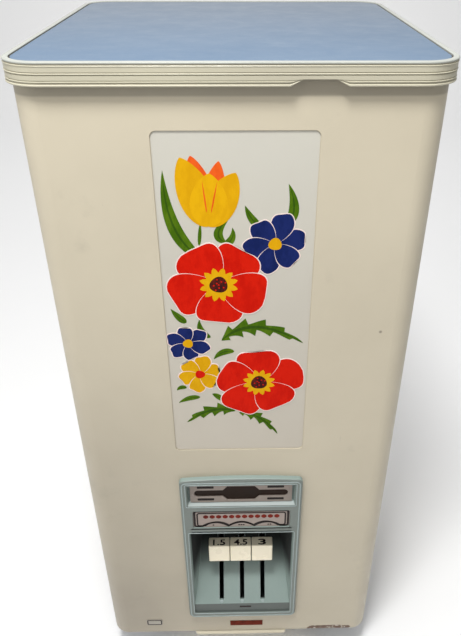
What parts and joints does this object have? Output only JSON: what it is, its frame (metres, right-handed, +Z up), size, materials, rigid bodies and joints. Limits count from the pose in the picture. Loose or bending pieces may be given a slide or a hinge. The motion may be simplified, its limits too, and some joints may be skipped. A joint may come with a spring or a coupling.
{
  "type": "rice storage box with measuring dispenser",
  "caption": "Free-standing painted steel rice box with a hinged lid, a recessed dispenser with press-down measuring keys, and a receiving tray that slides out below.",
  "frame": {"origin": "on the floor, below the centre of the lid", "axes": "+Z up, the front of the box faces -Y, +X to the right when facing the front"},
  "size_m": [0.3524, 0.373, 0.776],
  "materials": {
    "badge_metal": "satin",
    "blue_laminate": "scuffed satin laminate",
    "cabinet_paint": "satin beige enamel",
    "clear_plastic": "smooth milky plastic",
    "cream_plastic": "satin cream",
    "foot_rubber": "matte",
    "galvanised": "galvanised sheet",
    "gasket_rubber": "matte",
    "hinge_steel": "plated",
    "key_cream": "glossy cream",
    "lid_core": "fibre board",
    "lid_cream": "ribbed cream moulding",
    "plinth_paint": "satin black",
    "red_label": "printed label",
    "smoked_lens": "smoked, glossy",
    "spring_steel": "spring wire",
    "steel": "plain steel",
    "taupe_plate": "satin taupe",
    "unit_plastic": "satin grey-blue moulding",
    "zinc_screw": "zinc plated"
  },
  "bodies": {
    "cabinet": {"back_panel": "cabinet_paint", "back_panel_screws": "zinc_screw", "blank_badge": "badge_metal", "bottom_plate": "galvanised", "cabinet_shell": "cabinet_paint", "dispenser_bezel": "unit_plastic", "hinge_leaf_body_left": "hinge_steel", "hinge_leaf_body_right": "hinge_steel", "hinge_pin_left": "hinge_steel", "hinge_pin_right": "hinge_steel", "hinge_screws_body": "zinc_screw", "hopper_funnel": "galvanised", "label_strip": "red_label", "level_lens": "smoked_lens", "lever_shaft": "steel", "measuring_case_left": "clear_plastic", "measuring_case_right": "clear_plastic", "nameplate": "taupe_plate", "outlet_chute": "galvanised", "plinth_frame": "plinth_paint", "return_spring_1_5": "spring_steel", "return_spring_3": "spring_steel", "return_spring_4_5": "spring_steel", "rim_collar": "cream_plastic", "rubber_feet": "foot_rubber", "shaft_bracket_left": "galvanised", "shaft_bracket_right": "galvanised", "tray_rail_left": "galvanised", "tray_rail_right": "galvanised", "window_plate": "taupe_plate"},
    "lid": {"lid_trim": "lid_cream", "lid_board": "lid_core", "lid_top_sheet": "blue_laminate", "lid_gasket": "gasket_rubber", "hinge_leaf_lid_left": "hinge_steel", "hinge_leaf_lid_right": "hinge_steel", "hinge_screws_lid": "zinc_screw"},
    "key_1_5": {"lever_arm_1_5": "steel", "measuring_gates_1_5": "steel", "key_cap_1_5": "key_cream"},
    "key_4_5": {"lever_arm_4_5": "steel", "measuring_gates_4_5": "steel", "key_cap_4_5": "key_cream"},
    "key_3": {"lever_arm_3": "steel", "measuring_gates_3": "steel", "key_cap_3": "key_cream"},
    "tray": {"receiving_tray": "cream_plastic", "tray_pull_lip": "cream_plastic"}
  },
  "joints": [
    {"name": "lid_hinge", "type": "hinge", "parent": "cabinet", "child": "lid", "pos_m": [0, 0.183, 0.764], "axis": [-1, 0, 0], "range_deg": [0, 95]},
    {"name": "key_1_5_press", "type": "hinge", "parent": "cabinet", "child": "key_1_5", "pos_m": [0.003, -0.055, 0.112], "axis": [1, 0, 0], "range_deg": [0, 33], "stiffness_Nm_per_rad": 0.9, "springref_deg": -34.38},
    {"name": "key_4_5_press", "type": "hinge", "parent": "cabinet", "child": "key_4_5", "pos_m": [0.003, -0.055, 0.112], "axis": [1, 0, 0], "range_deg": [0, 33], "stiffness_Nm_per_rad": 0.9, "springref_deg": -34.38},
    {"name": "key_3_press", "type": "hinge", "parent": "cabinet", "child": "key_3", "pos_m": [0.003, -0.055, 0.112], "axis": [1, 0, 0], "range_deg": [0, 33], "stiffness_Nm_per_rad": 0.9, "springref_deg": -34.38},
    {"name": "tray_slide", "type": "slide", "parent": "cabinet", "child": "tray", "axis": [0, -1, 0], "range_m": [0, 0.25]}
  ]
}
